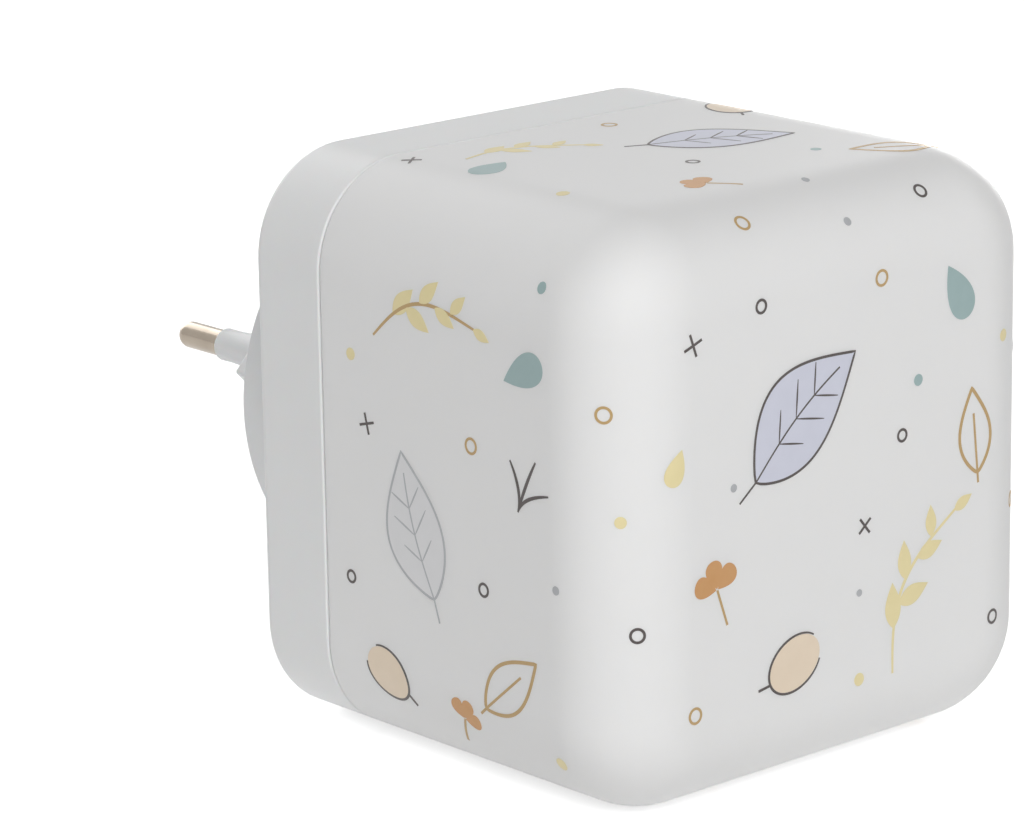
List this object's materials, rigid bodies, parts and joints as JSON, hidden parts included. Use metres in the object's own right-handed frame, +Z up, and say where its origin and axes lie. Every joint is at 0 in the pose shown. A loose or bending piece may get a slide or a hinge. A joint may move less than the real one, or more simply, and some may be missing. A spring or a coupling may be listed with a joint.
{
  "type": "plug-in night light",
  "caption": "White plug-in night light: a hollow rounded cube shade on a flat square base, which turns on a round two-pin plug head.",
  "frame": {"origin": "midway between the two plug pins, where their bare metal begins", "axes": "+Y along the pins into the wall, -Y the way the light faces, +X to the right seen from the front, +Z up"},
  "size_m": [0.08, 0.1286, 0.08],
  "materials": {
    "shade_opal": "satin milky white",
    "housing_white": "semi-gloss white",
    "plug_white": "semi-gloss white",
    "cap_white": "semi-gloss white",
    "pin_nickel": "polished nickel plating",
    "screw_steel": "zinc plated",
    "retainer_grey": "moulded",
    "contact_brass": "bright",
    "board_green": "solder mask",
    "capacitor_yellow": "moulded box",
    "part_black": "moulded",
    "resistor_blue": "lacquered",
    "deck_white": "reflecting white",
    "led_board_white": "white solder mask",
    "led_white": "moulded",
    "led_phosphor": "phosphor gel"
  },
  "bodies": {
    "plug": {"plug_head": "plug_white", "plug_pin_left": "pin_nickel", "plug_pin_right": "pin_nickel", "pin_sleeve_left": "plug_white", "pin_sleeve_right": "plug_white", "plug_screws": "screw_steel", "screw_caps": "cap_white", "swivel_retainer": "retainer_grey", "swivel_washer": "screw_steel", "contact_wiper_left": "contact_brass", "contact_wiper_right": "contact_brass"},
    "base": {"base_housing": "housing_white", "contact_ring_inner": "contact_brass", "contact_ring_outer": "contact_brass", "driver_board": "board_green", "dropper_capacitor": "capacitor_yellow", "bridge_rectifier": "part_black", "smoothing_capacitor": "part_black", "fuse_resistor": "resistor_blue", "board_screws": "screw_steel", "light_deck": "deck_white", "deck_screws": "screw_steel", "led_board": "led_board_white", "leds": "led_white", "led_gels": "led_phosphor", "led_screws": "screw_steel", "board_links": "contact_brass"},
    "shade": {"shade": "shade_opal"}
  },
  "joints": [
    {"name": "plug_swivel", "type": "hinge", "parent": "plug", "child": "base", "pos_m": [0, -0.0457, 0], "axis": [0, 1, 0], "range_deg": [-90, 90]},
    {"name": "shade_pull", "type": "slide", "parent": "base", "child": "shade", "axis": [0, -1, 0], "range_m": [0, 0.065]}
  ]
}
